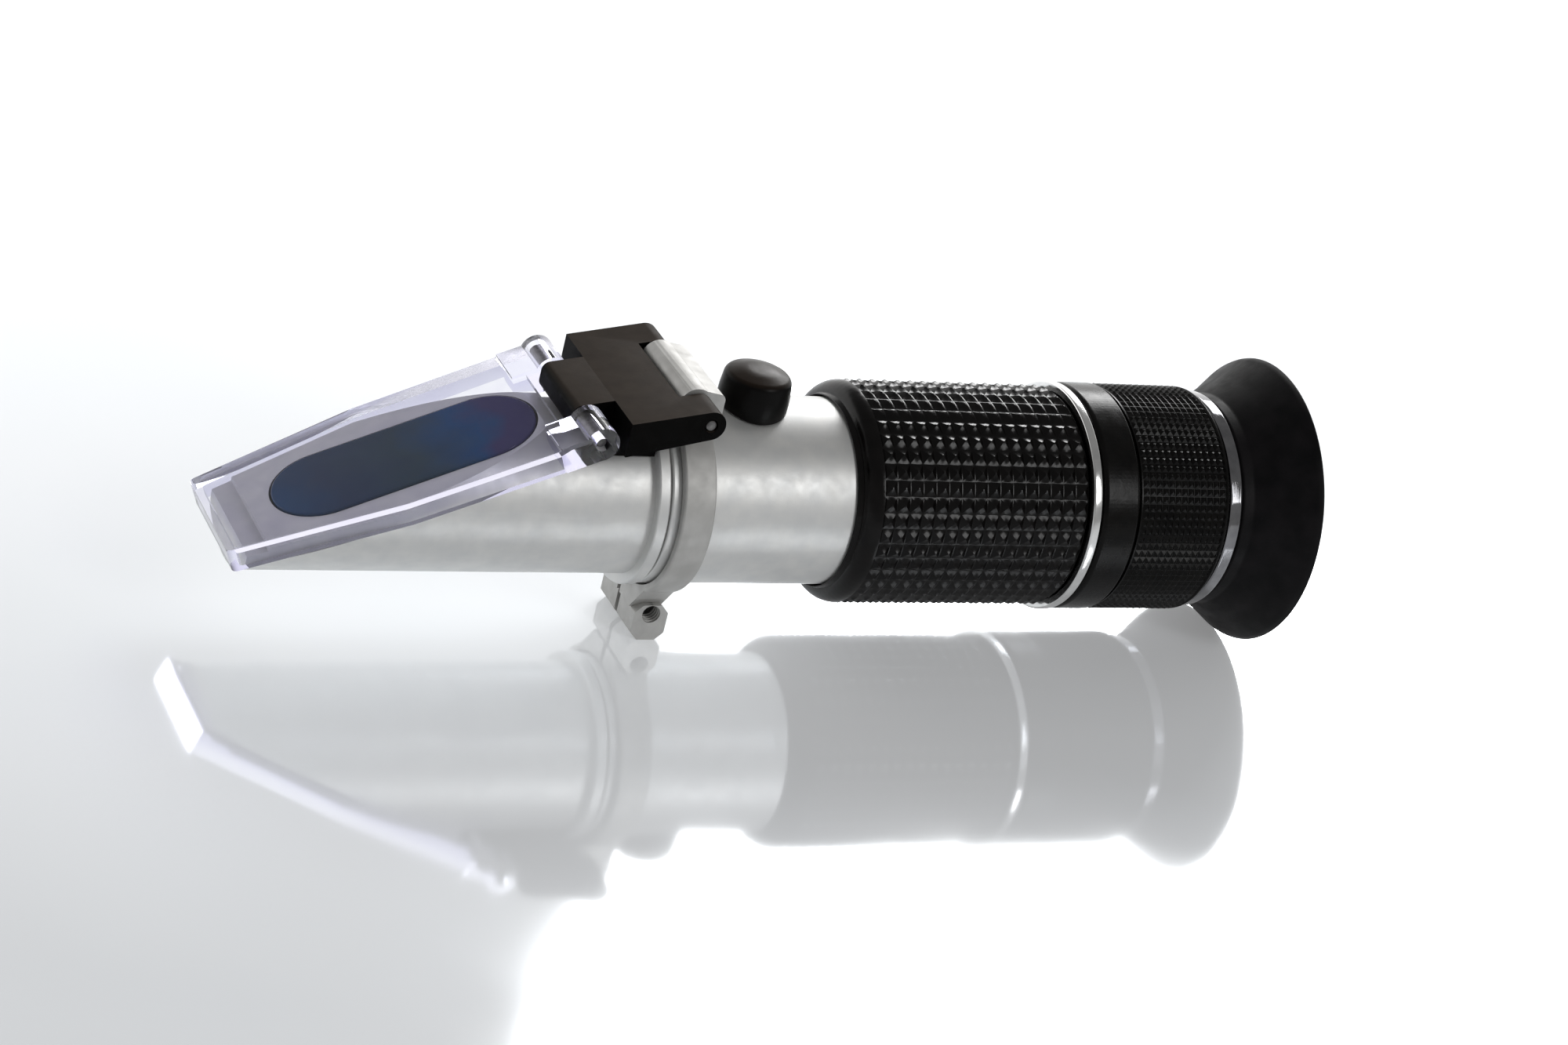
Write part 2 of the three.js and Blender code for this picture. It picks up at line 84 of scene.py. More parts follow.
GRIP_KNURL = 0.62  # height of a pyramid
FOCUS_COLLAR = 6.2
FOCUS_GROOVE = 0.75
FOCUS_KNURL = 0.34

HOUSING_FRONT, SPIGOT_REAR, FLANGE_R = span("prism_housing")
HOUSING_R = 12
HOUSING_REAR = TUBE_FRONT - 2
BORE_R = 12
SPIGOT_R = BORE_R - GAP
LIGHT_PATH_R = 7
SEAL_GROOVE = (-16, -14.4)
SEAL_GROOVE_R = 10.8

PLATE_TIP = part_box("daylight_plate")[0].x / MM
PLATE_TIP_Z = -5.6
SLOPE = math.radians(23.3)
PLATE_DEPTH = 3.4
PLATE_SKIN = 1.4
PLATE_WALL = 1.3
PLATE_TIP_HALF = 9.7
PLATE_BEND_HALF = 13.3
PLATE_BEND_AT = 24
PLATE_REAR_HALF = 13.8
PRISM_DROP = PLATE_SKIN + GAP
FACE_DROP = PRISM_DROP + 0.2
LEDGE_DROP = PLATE_DEPTH + GAP
PRISM_CENTRE = 27.4
PRISM_HALF_LENGTH = 18.6
PRISM_HALF = 7.4
PRISM_DEPTH = 4.9
FACE_STEP_REAR = HOUSING_FRONT + 2.6
FACE_STEP_DEPTH = 0.5


def joint_axis(name):
    """X and Z of a crosswise hinge."""
    place = next(j["pos_m"] for j in frame["joints"] if j["name"] == name)
    return Vector((place[0] / MM, (place[2] - AXIS_Z) / MM))


FLAP_AXIS = joint_axis("flap_hinge")
PLATE_AXIS = joint_axis("plate_align")
BLOCK_HALF = 13.4
BLOCK_FRONT = PLATE_AXIS.x + 3.8
SLOT_FRONT = FLAP_AXIS.x - 3.1
SLOT_HALF = 7.9
BLOCK_END_R = 2.1
BLOCK_TOP_SLOPE = math.radians(11)
BLOCK_BOTTOM_SLOPE = math.radians(14)
TONGUE_REACH = 1.9
TONGUE_HALF = 6.5
TONGUE_SWEEP = 3.6
LUG_R = 2.4
CROWN_FLAT = 11
PIN_R = 0.8
PIN_HOLE_R = 0.95

COLLAR_FRONT, COLLAR_REAR, COLLAR_R = -18.5, -13.8, 14.57
LUG_FRONT, LUG_REAR, LUG_HALF = -18.2, -13.1, 6.1
LUG_TOP = -15.5
LUG_NECK = 4.4
LUG_CHAMFER = 1.2
GROUND = -AXIS_Z / MM
SCREW_HOLE = Vector((-15.65, -16.9))
THREAD_R = 1.6
THREAD_CORE_R = THREAD_R - 0.25
THREAD_DEPTH = 0.3
THREAD_WIDTH = 0.4
THREAD_PITCH = 0.55
EAR_HALF = 10.2  # where the ears that carry the lug leave the ring
EAR_TOP = -9
SCREW_R = 1.1
SCREW_HEAD_R = 1.65
SCREW_HEAD = (3.7, 5.5)
SCREW_TIP = -3.9
SOCKET_R = 0.85
SOCKET_FLOOR = 4.3
SADDLE_HALF = 8.6
SADDLE_LOW = 9.3
SPLIT_HALF = 0.5
BOSS_HALF = 7.4
BOSS_REAR = -13
BOSS_FOOT = 12
BOSS_R = 2.5
NOSE_RELIEF_R = 14.2  # keeps the boss clear of the housing's flange

CAP_LOW, CAP_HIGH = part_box("calibration_cap")
CAP_X = (CAP_LOW.x + CAP_HIGH.x) / 2 / MM
CAP_R = (CAP_HIGH.x - CAP_LOW.x) / 2 / MM
CAP_TOP = (CAP_HIGH.z - AXIS_Z) / MM
CAP_FOOT = 8
CAP_BORE_R = 4.2
CAP_BORE_TOP = 17.5

WIDE = 20  # clears every piece sideways
FAR = 60  # clears the whole section


# ---- outlines ------------------------------------------------------------------------------------
def arc(centre, radius, start, end, steps=12):
    """Points on a circle from one angle to another, in degrees."""
    turns = [math.radians(start + (end - start) * i / steps) for i in range(steps + 1)]
    return [(centre[0] + radius * math.cos(t), centre[1] + radius * math.sin(t)) for t in turns]


def filleted(corners, steps=6):
    """A closed outline whose corners (a, b, radius) are rounded; a corner without a radius stays sharp."""
    outline = []
    for i, corner in enumerate(corners):
        here = Vector(corner[:2])
        if len(corner) < 3:
            outline.append(tuple(here))
            continue
        to_last = (Vector(corners[i - 1][:2]) - here).normalized()
        to_next = (Vector(corners[(i + 1) % len(corners)][:2]) - here).normalized()
        half = to_last.angle(to_next) / 2
        reach = corner[2] / math.tan(half)
        centre = here + (to_last + to_next).normalized() * corner[2] / math.sin(half)
        start = here + to_last * reach - centre
        turn = (here + to_next * reach - centre).angle_signed(start)
        for k in range(steps + 1):
            outline.append(tuple(centre + Matrix.Rotation(turn * k / steps, 2) @ start))
    return outline


def stadium(centre, half_length, half):
    """A slot-shaped outline with round ends."""
    straight = half_length - half
    return arc((centre + straight, 0), half, -90, 90, 32) + arc((centre - straight, 0), half, 90, 270, 32)


# ---- meshes --------------------------------------------------------------------------------------
ACROSS = Matrix(((1, 0, 0, 0), (0, 0, 1, 0), (0, 1, 0, 0), (0, 0, 0, 1)))
ALONG = Matrix(((0, 0, 1, 0), (1, 0, 0, 0), (0, 1, 0, 0), (0, 0, 0, 1)))
ON_SLOPE = Matrix.Translation((PLATE_TIP, 0, PLATE_TIP_Z)) @ Matrix.Rotation(-SLOPE, 4, "Y")
UPRIGHT = Matrix.Identity(4)


def piece_from(name, points, faces):
    mesh = bpy.data.meshes.new(name)
    mesh.from_pydata(points, [], faces)
    shape = bmesh.new()
    shape.from_mesh(mesh)
    bmesh.ops.remove_doubles(shape, verts=shape.verts, dist=1e-5)
    bmesh.ops.recalc_face_normals(shape, faces=shape.faces)
    shape.to_mesh(mesh)
    shape.free()
    piece = bpy.data.objects.new(name, mesh)
    bpy.context.scene.collection.objects.link(piece)
    return piece


def turned(name, profile, facets=AROUND, stand=None):
    """Revolves a closed profile of (distance along, radius). It turns about the optical axis, or about the
    upright through X = stand."""
    points = []
    for along, radius in profile:
        for i in range(facets):
            turn = 2 * math.pi * i / facets
            y, z = radius * math.cos(turn), radius * math.sin(turn)
            points.append((along, y, z) if stand is None else (stand + y, z, along))
    faces = []
    count = len(profile)
    for p in range(count):
        q = (p + 1) % count
        if profile[p][1] == 0 and profile[q][1] == 0:
            continue
        for i in range(facets):
            j = (i + 1) % facets
            faces.append((p * facets + i, p * facets + j, q * facets + j, q * facets + i))
    return piece_from(name, points, faces)


def extruded(name, outline, low, high, way=ACROSS):
    """A closed outline, pulled from low to high along the third axis of way."""
    count = len(outline)
    points = [way @ Vector((a, b, level)) for level in (low, high) for a, b in outline]
    sides = [(i, (i + 1) % count, count + (i + 1) % count, count + i) for i in range(count)]
    return piece_from(name, points, [tuple(range(count)), tuple(range(count, 2 * count)), *sides])


def disc(front, rear, radius, facets=AROUND):
    return turned("tool", [(front, 0), (front, radius), (rear, radius), (rear, 0)], facets)


def crosswise(radius, centre, low, high, facets=FINE):
    return extruded("tool", arc(centre, radius, 0, 360 - 360 / facets, facets - 1), low, high)


def box(x, y, z, way=UPRIGHT):
    return extruded("tool", [(x[0], y[0]), (x[1], y[0]), (x[1], y[1]), (x[0], y[1])], z[0], z[1], way)


def settle(piece):
    """Turns a piece's modifiers into its mesh."""
    shown = piece.evaluated_get(bpy.context.evaluated_depsgraph_get())
    mesh = bpy.data.meshes.new_from_object(shown)
    old = piece.data
    piece.modifiers.clear()
    piece.data = mesh
    bpy.data.meshes.remove(old)
    mesh.name = piece.name
    return piece


def combine(piece, operation, tools):
    for tool in tools:
        change = piece.modifiers.new("change", "BOOLEAN")
        change.operation = operation
        change.solver = "EXACT"
        change.object = tool
        settle(piece)
        bpy.data.objects.remove(tool)
    return piece


def cut(piece, *tools):
    return combine(piece, "DIFFERENCE", tools)


def join(piece, *tools):
    return combine(piece, "UNION", tools)


def meet(piece, *tools):
    return combine(piece, "INTERSECT", tools)


def soften(piece, width, segments=3, angle=28):
    """Rounds the edges with real geometry."""
    edges = piece.modifiers.new("edges", "BEVEL")
    edges.width = width
    edges.segments = segments
    edges.limit_method = "ANGLE"
    edges.angle_limit = math.radians(angle)
    edges.miter_outer = "MITER_ARC"
    edges.use_clamp_overlap = True
    return settle(piece)


def shade(piece, angle=32):
    """Smooth shading in which the large faces set the normals and the rounded edges blend into them."""
    mesh = piece.data
    mesh.shade_smooth()
    mesh.set_sharp_from_angle(angle=math.radians(angle))
    normals = piece.modifiers.new("normals", "WEIGHTED_NORMAL")
    normals.keep_sharp = True
    return settle(piece)


def add(piece, name, body, material, nodes, angle=32):
    """Brings a finished piece into the frame and makes it stand for its CAD nodes."""
    piece.name = name
    piece.data.transform(TO_METRES)
    piece.data.materials.clear()
    piece.data.materials.append(material)
    shade(piece, angle)
    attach(piece, body)
    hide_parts(*nodes)
    return piece


# ---- materials -----------------------------------------------------------------------------------
def new_material(name):
    material = bpy.data.materials.new(name)
    material.use_nodes = True
    return material.node_tree, material.node_tree.nodes["Principled BSDF"], material


def place_of(tree, stretch=(1, 1, 1)):
    """The point on the piece, stretched along X, Y and Z."""
    point = tree.nodes.new("ShaderNodeTexCoord").outputs["Object"]
    mapping = tree.nodes.new("ShaderNodeMapping")
    mapping.inputs["Scale"].default_value = stretch
    tree.links.new(point, mapping.inputs["Vector"])
    return mapping.outputs["Vector"]


def noise(tree, grain, detail=3, stretch=(1, 1, 1), roughness=0.5):
    """Noise whose grain is a length in millimetres."""
    node = tree.nodes.new("ShaderNodeTexNoise")
    node.inputs["Scale"].default_value = 1 / (grain * MM)
    node.inputs["Detail"].default_value = detail
    node.inputs["Roughness"].default_value = roughness
    tree.links.new(place_of(tree, stretch), node.inputs["Vector"])
    return node.outputs["Fac"]


def spread(tree, value, low, high, start=0.3, end=0.7):
    node = tree.nodes.new("ShaderNodeMapRange")
    node.inputs["From Min"].default_value = start
    node.inputs["From Max"].default_value = end
    node.inputs["To Min"].default_value = low
    node.inputs["To Max"].default_value = high
    tree.links.new(value, node.inputs["Value"])
    return node.outputs["Result"]


def product(tree, first, second):
    node = tree.nodes.new("ShaderNodeMath")
    node.operation = "MULTIPLY"
    tree.links.new(first, node.inputs[0])
    tree.links.new(second, node.inputs[1])
    return node.outputs["Value"]


def ramp(tree, value, stops):
    node = tree.nodes.new("ShaderNodeValToRGB")
    bar = node.color_ramp.elements
    while len(bar) < len(stops):
        bar.new(0.5)
    for element, (place, colour) in zip(bar, stops):
        element.position = place
        element.color = (*colour, 1)
    tree.links.new(value, node.inputs["Fac"])
    return node.outputs["Color"]


def roughen(tree, height, depth, normal=None, strength=1):
    """A bump of that depth in millimetres."""
    node = tree.nodes.new("ShaderNodeBump")
    node.inputs["Distance"].default_value = depth * MM
    node.inputs["Strength"].default_value = strength
    tree.links.new(height, node.inputs["Height"])
    if normal:
        tree.links.new(normal, node.inputs["Normal"])
    return node.outputs["Normal"]


def blotchy(tree, shader, dark, light, grain, rough, detail=4):
    """Base colour and roughness that wander over the surface."""
    colour = ramp(tree, noise(tree, grain, detail), [(0.35, dark), (0.65, light)])
    tree.links.new(colour, shader.inputs["Base Color"])
    tree.links.new(spread(tree, noise(tree, grain * 0.6, detail), *rough), shader.inputs["Roughness"])


def blasted_metal(name, low, high, rough):
    """Aluminium, bead-blasted over turning marks and anodised, so part of its light is scattered."""
    tree, shader, material = new_material(name)
    shader.inputs["Metallic"].default_value = 0.6
    blotchy(tree, shader, low, high, 3, rough)
    blasted = roughen(tree, noise(tree, 0.16, 2), 0.006)
    lines = roughen(tree, noise(tree, 0.12, 2, stretch=(1, 0.03, 0.03)), 0.002, blasted)
    tree.links.new(lines, shader.inputs["Normal"])
    return material


def satin_aluminium():
    return blasted_metal("satin_aluminium", (0.66, 0.665, 0.66), (0.72, 0.72, 0.705), (0.42, 0.5))


def cast_aluminium():
    """Greyer and flatter than the turned tube."""
    return blasted_metal("cast_aluminium", (0.46, 0.455, 0.44), (0.54, 0.535, 0.52), (0.5, 0.6))


def lathe_turned(name, low, high, rough):
    """Bare metal with the fine rings that a lathe leaves."""
    tree, shader, material = new_material(name)
    shader.inputs["Metallic"].default_value = 1
    blotchy(tree, shader, low, high, 2, rough)
    lines = roughen(tree, noise(tree, 0.1, 2, stretch=(1, 0.02, 0.02)), 0.005)
    tree.links.new(lines, shader.inputs["Normal"])
    return material


def bright_steel():
    tree, shader, material = new_material("bright_steel")
    shader.inputs["Metallic"].default_value = 1
    blotchy(tree, shader, (0.06, 0.058, 0.057), (0.13, 0.127, 0.125), 0.6, (0.3, 0.45))
    tree.links.new(roughen(tree, noise(tree, 0.12, 3), 0.006), shader.inputs["Normal"])
    return material


def brass():
    tree, shader, material = new_material("brass")
    shader.inputs["Metallic"].default_value = 1
    blotchy(tree, shader, (0.62, 0.44, 0.16), (0.76, 0.58, 0.26), 1.2, (0.25, 0.4))
    lines = roughen(tree, noise(tree, 0.1, 2, stretch=(0.05, 0.05, 1)), 0.005)
    tree.links.new(lines, shader.inputs["Normal"])
    return material


def clear_plastic(name, tint, ior, rough, absorb=None):
    """Clear stuff. Lamp light goes straight through it, and so does light that has turned twice already."""
    tree, shader, material = new_material(name)
    shader.inputs["Transmission Weight"].default_value = 1
    shader.inputs["IOR"].default_value = ior
    colour = ramp(tree, noise(tree, 4, 2), [(0.3, tint), (0.7, (1, 1, 1))])
    tree.links.new(colour, shader.inputs["Base Color"])
    tree.links.new(spread(tree, noise(tree, 2.5, 4), *rough), shader.inputs["Roughness"])
    tree.links.new(roughen(tree, noise(tree, 2.2, 2), 0.004), shader.inputs["Normal"])
    through = tree.nodes.new("ShaderNodeBsdfTransparent")
    through.inputs["Color"].default_value = (0.88, 0.88, 0.93, 1)
    mix = tree.nodes.new("ShaderNodeMixShader")
    rays = tree.nodes.new("ShaderNodeLightPath")
    deep = tree.nodes.new("ShaderNodeMath")
    deep.operation = "GREATER_THAN"
    deep.inputs[1].default_value = 1.5
    tree.links.new(rays.outputs["Ray Depth"], deep.inputs[0])
    straight = tree.nodes.new("ShaderNodeMath")
    straight.operation = "MAXIMUM"
    tree.links.new(rays.outputs["Is Shadow Ray"], straight.inputs[0])
    tree.links.new(deep.outputs["Value"], straight.inputs[1])
    tree.links.new(straight.outputs["Value"], mix.inputs["Fac"])
    tree.links.new(shader.outputs["BSDF"], mix.inputs[1])
    tree.links.new(through.outputs["BSDF"], mix.inputs[2])
    out = tree.nodes["Material Output"]
    tree.links.new(mix.outputs["Shader"], out.inputs["Surface"])
    if absorb:
        volume = tree.nodes.new("ShaderNodeVolumeAbsorption")
        volume.inputs["Color"].default_value = (*absorb[0], 1)
        volume.inputs["Density"].default_value = absorb[1]
        tree.links.new(volume.outputs["Volume"], out.inputs["Volume"])
    return material


def prism_glass():
    """Polished glass over a dark backing, blue to grey-blue to violet from the tip to the eye."""
    tree, shader, material = new_material("prism_glass")
    apart = tree.nodes.new("ShaderNodeSeparateXYZ")
    tree.links.new(place_of(tree), apart.inputs["Vector"])
    low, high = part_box("measuring_prism")
    along = spread(tree, apart.outputs["X"], 0, 1, low.x, high.x)
    cloud = noise(tree, 9, 2)
    mix = tree.nodes.new("ShaderNodeMath")
    mix.operation = "MULTIPLY_ADD"
    mix.inputs[1].default_value = 0.35
    tree.links.new(cloud, mix.inputs[0])
    tree.links.new(along, mix.inputs[2])
    stops = [
        (0.12, (0.008, 0.068, 0.175)), (0.4, (0.022, 0.050, 0.105)), (0.68, (0.026, 0.062, 0.090)),
        (0.9, (0.006, 0.075, 0.210)), (1.0, (0.055, 0.048, 0.150)),
    ]
    tree.links.new(ramp(tree, mix.outputs["Value"], stops), shader.inputs["Base Color"])
    tree.links.new(spread(tree, noise(tree, 6, 3), 0.05, 0.1), shader.inputs["Roughness"])
    shader.inputs["IOR"].default_value = 1.42
    shader.inputs["Specular IOR Level"].default_value = 0.3
    return material


def dark(name, low, high, grain, rough, bump=0.01, gloss=0.35):
    tree, shader, material = new_material(name)
    blotchy(tree, shader, low, high, grain, rough)
    fine = roughen(tree, noise(tree, 0.35, 3), bump)
    tree.links.new(roughen(tree, noise(tree, 2.5, 2), bump * 2, fine), shader.inputs["Normal"])
    shader.inputs["Specular IOR Level"].default_value = gloss
    return material


def painted_top_sheen(name, clean, painted_sheen, grain, rough, gloss):
    """Black moulding with a painted warm sheen on the faces that look up: the light they reflect, painted
    into the base colour.
    """
    tree, shader, material = new_material(name)
    apart = tree.nodes.new("ShaderNodeSeparateXYZ")
    tree.links.new(tree.nodes.new("ShaderNodeTexCoord").outputs["Normal"], apart.inputs["Vector"])
    # painted sheen: faces whose normal looks up get the warm colour, as if lit from above
    upward = spread(tree, apart.outputs["Z"], 0, 1, 0.45, 0.98)
    patches = spread(tree, noise(tree, grain, 4), 0.8, 1, 0.35, 0.65)
    amount = product(tree, upward, patches)
    tree.links.new(ramp(tree, amount, [(0, clean), (1, painted_sheen)]), shader.inputs["Base Color"])
    tree.links.new(spread(tree, noise(tree, grain * 0.6, 4), *rough), shader.inputs["Roughness"])
    fine = roughen(tree, noise(tree, 0.35, 3), 0.008)
    tree.links.new(roughen(tree, noise(tree, 2.5, 2), 0.016, fine), shader.inputs["Normal"])
    shader.inputs["Specular IOR Level"].default_value = gloss
    return material


ALUMINIUM = satin_aluminium()
CAST = cast_aluminium()
TURNED = lathe_turned("turned_aluminium", (0.70, 0.70, 0.70), (0.79, 0.79, 0.78), (0.12, 0.2))
# A dark copy of the turned aluminium: painted shade, so the trim ring stays dark below its bright top.
SHADED_POLISHED = lathe_turned("polished_ring_painted_shade", (0.20, 0.20, 0.21), (0.27, 0.27, 0.28), (0.04, 0.08))
STEEL = bright_steel()
BRASS = brass()
ACRYLIC = clear_plastic("clear_acrylic", (0.91, 0.90, 0.95), 1.3, (0.0, 0.03), ((0.5, 0.45, 0.9), 30))
OPTICAL = clear_plastic("optical_glass", (0.93, 0.98, 0.96), 1.52, (0.0, 0.02))
PRISM = prism_glass()
# The second colour is the painted warm sheen on the block's upward faces.
BLOCK_PLASTIC = painted_top_sheen(
    "block_plastic", (0.002, 0.0018, 0.0016), (0.046, 0.035, 0.027), 3, (0.40, 0.50), 0.03,
)
RING_PLASTIC = dark(
    "ring_plastic", (0.002, 0.0018, 0.0018), (0.005, 0.0045, 0.004), 2.5, (0.2, 0.3), 0.01, 0.13,
)
GRIP_RUBBER = dark(
    "grip_rubber", (0.002, 0.0016, 0.0016), (0.005, 0.0042, 0.004), 2.5, (0.15, 0.25), 0.01, 0.18,
)
# The second colour is the painted warm sheen on the cap's upward faces.
CAP_RUBBER = painted_top_sheen("cap_rubber", (0.002, 0.0017, 0.0016), (0.024, 0.016, 0.011), 3, (0.3, 0.4), 0.1)
CUP_RUBBER = dark("cup_rubber", (0.003, 0.003, 0.0035), (0.008, 0.007, 0.008), 4, (0.42, 0.56), 0.01, 0.1)
OPTICAL_BLACK = dark("optical_black", (0.010, 0.010, 0.011), (0.020, 0.020, 0.022), 1.5, (0.5, 0.7))


# ---- prism end -----------------------------------------------------------------------------------
def slope_slab(low, high, end=90):
    """Everything between two levels over the sloping face, as far along it as end."""
    return box((-10, end), (-FAR, FAR), (low, high), ON_SLOPE)


def slope_point(place):
    """Distance along the slope and height above it."""
    run, rise = place.x - PLATE_TIP, place.y - PLATE_TIP_Z
    return (
        run * math.cos(SLOPE) + rise * math.sin(SLOPE),
        rise * math.cos(SLOPE) - run * math.sin(SLOPE),
    )


PLATE_AXIS_S, PLATE_AXIS_N = slope_point(PLATE_AXIS)
PLATE_REAR = PLATE_AXIS_S - TONGUE_SWEEP


def plate_outline(inset, rear, corner):
    """The plate's outline on the slope, drawn in by inset, with rounded tip corners."""
    half = [
        (inset, PLATE_TIP_HALF - inset, corner),
        (PLATE_BEND_AT, PLATE_BEND_HALF - inset),
        (rear - inset, PLATE_REAR_HALF - inset),
    ]
    mirrored = [(s, -y, *radius) for s, y, *radius in reversed(half)]
    return filleted(half + mirrored, 10)


def prism_housing():
    body = turned("tool", filleted([
        (HOUSING_FRONT, 0), (HOUSING_FRONT, HOUSING_R, 0.3), (HOUSING_REAR, HOUSING_R),
        (HOUSING_REAR, FLANGE_R, 0.25), (TUBE_FRONT - GAP, FLANGE_R, 0.25), (TUBE_FRONT - GAP, SPIGOT_R),
        (SEAL_GROOVE[0], SPIGOT_R), (SEAL_GROOVE[0], SEAL_GROOVE_R), (SEAL_GROOVE[1], SEAL_GROOVE_R),
        (SEAL_GROOVE[1], SPIGOT_R), (SPIGOT_REAR, SPIGOT_R, 0.3), (SPIGOT_REAR, 0),
    ], 4))
    above = meet(slope_slab(-FACE_DROP, FAR), box((-90, -28), (-30, 30), (-30, FAR)))
    beside = cut(
        slope_slab(-LEDGE_DROP, 0, 46),
        extruded("tool", plate_outline(PLATE_WALL + GAP / 3, 70, 0.6), -LEDGE_DROP - 1, 1, ON_SLOPE),
    )
    step = meet(
        slope_slab(-FACE_DROP - FACE_STEP_DEPTH, 0, 30),
        box((-90, FACE_STEP_REAR), (-WIDE, WIDE), (-20, 0)),
    )
    pocket = extruded(
        "tool", stadium(PRISM_CENTRE, PRISM_HALF_LENGTH + GAP, PRISM_HALF + GAP),
        -PRISM_DROP - PRISM_DEPTH - GAP, 0, ON_SLOPE,
    )
    crown = box((PLATE_AXIS.x - 2 * LUG_R, BLOCK_FRONT + 1), (-WIDE, WIDE), (CROWN_FLAT, FAR))
    cut(body, above, beside, step, pocket, crown, disc(-42, 0, LIGHT_PATH_R))
    return soften(body, 0.16, 2, 35)


def measuring_prism():
    outline = stadium(PRISM_CENTRE, PRISM_HALF_LENGTH, PRISM_HALF)
    slab = extruded("tool", outline, -PRISM_DROP - PRISM_DEPTH, -PRISM_DROP, ON_SLOPE)
    return soften(slab, 0.2, 3, 40)


# ---- collar, block and plate ---------------------------------------------------------------------
def clamp_collar():
    band = turned("tool", filleted([
        (COLLAR_FRONT, TUBE_R + GAP), (COLLAR_FRONT, COLLAR_R, 0.35), (COLLAR_REAR, COLLAR_R, 0.3),
        (COLLAR_REAR, TUBE_R + GAP),
    ]))
    lug = extruded("tool", filleted([
        (LUG_FRONT + LUG_CHAMFER, LUG_TOP, 0.35), (LUG_FRONT, LUG_TOP - LUG_CHAMFER, 0.35),
        (LUG_FRONT, GROUND + LUG_CHAMFER, 0.35), (LUG_FRONT + LUG_CHAMFER, GROUND, 0.35),
        (LUG_REAR - LUG_CHAMFER, GROUND, 0.35), (LUG_REAR, GROUND + LUG_CHAMFER, 0.35),
        (LUG_REAR, LUG_TOP - LUG_CHAMFER, 0.35), (LUG_REAR - LUG_CHAMFER, LUG_TOP, 0.35),
    ]), -LUG_HALF, LUG_HALF)
    ears = extruded("tool", filleted([
        (-EAR_HALF, EAR_TOP), (-LUG_NECK, LUG_TOP - 1), (LUG_NECK, LUG_TOP - 1), (EAR_HALF, EAR_TOP),
    ]), COLLAR_FRONT, COLLAR_REAR, ALONG)
    boss = join(
        extruded("tool", filleted([
            (COLLAR_FRONT, BOSS_FOOT), (BOSS_REAR, BOSS_FOOT), (BOSS_REAR, 18.2, 1),
            (-16.6, 18.9, 1.5), (-19, 14.8),
        ]), -BOSS_HALF, BOSS_HALF),
        crosswise(BOSS_R, FLAP_AXIS, -BOSS_HALF, BOSS_HALF),
    )
    join(band, ears, lug, boss)
    nose_rear = COLLAR_FRONT - 0.01
    cut(
        band,
        disc(COLLAR_FRONT - 2, COLLAR_REAR + 2, TUBE_R + GAP),
        turned("tool", [(-25, 0.5), (-25, NOSE_RELIEF_R), (nose_rear, NOSE_RELIEF_R), (nose_rear, 0.5)]),
        box((COLLAR_FRONT - 5, COLLAR_REAR + 5), (-SPLIT_HALF, SPLIT_HALF), (-30, -5)),
        crosswise(SCREW_HEAD_R + GAP, SCREW_HOLE, SCREW_HEAD[0] - GAP, LUG_HALF + 1),
        crosswise(THREAD_CORE_R, SCREW_HOLE, -LUG_HALF - 1, LUG_HALF + 1),
        *(thread_groove(-LUG_HALF + 0.25 + turn * THREAD_PITCH) for turn in range(4)),
        crosswise(PIN_HOLE_R, FLAP_AXIS, -BOSS_HALF - 1, BOSS_HALF + 1),
    )
    return soften(band, 0.18, 2, 35)


def thread_groove(low):
    """One turn of the thread in the clamp screw's hole, as a ring with a V section."""
    high, foot = low + THREAD_WIDTH, THREAD_R - THREAD_DEPTH
    section = [(low, 0.5), (low, foot), (low + THREAD_WIDTH / 2, THREAD_R), (high, foot), (high, 0.5)]
    ring = turned("tool", section, FINE)
    place = Matrix.Translation((SCREW_HOLE.x, 0, SCREW_HOLE.y))
    ring.data.transform(place @ Matrix.Rotation(math.pi / 2, 4, "Z"))
    return ring


def clamp_screw():
    screw = join(
        crosswise(SCREW_HEAD_R, SCREW_HOLE, *SCREW_HEAD),
        crosswise(SCREW_R, SCREW_HOLE, SCREW_TIP, SCREW_HEAD[0] + 0.1),
    )
    cut(screw, crosswise(SOCKET_R, SCREW_HOLE, SOCKET_FLOOR, SCREW_HEAD[1] + 0.5, 6))
    return soften(screw, 0.12, 2, 35)


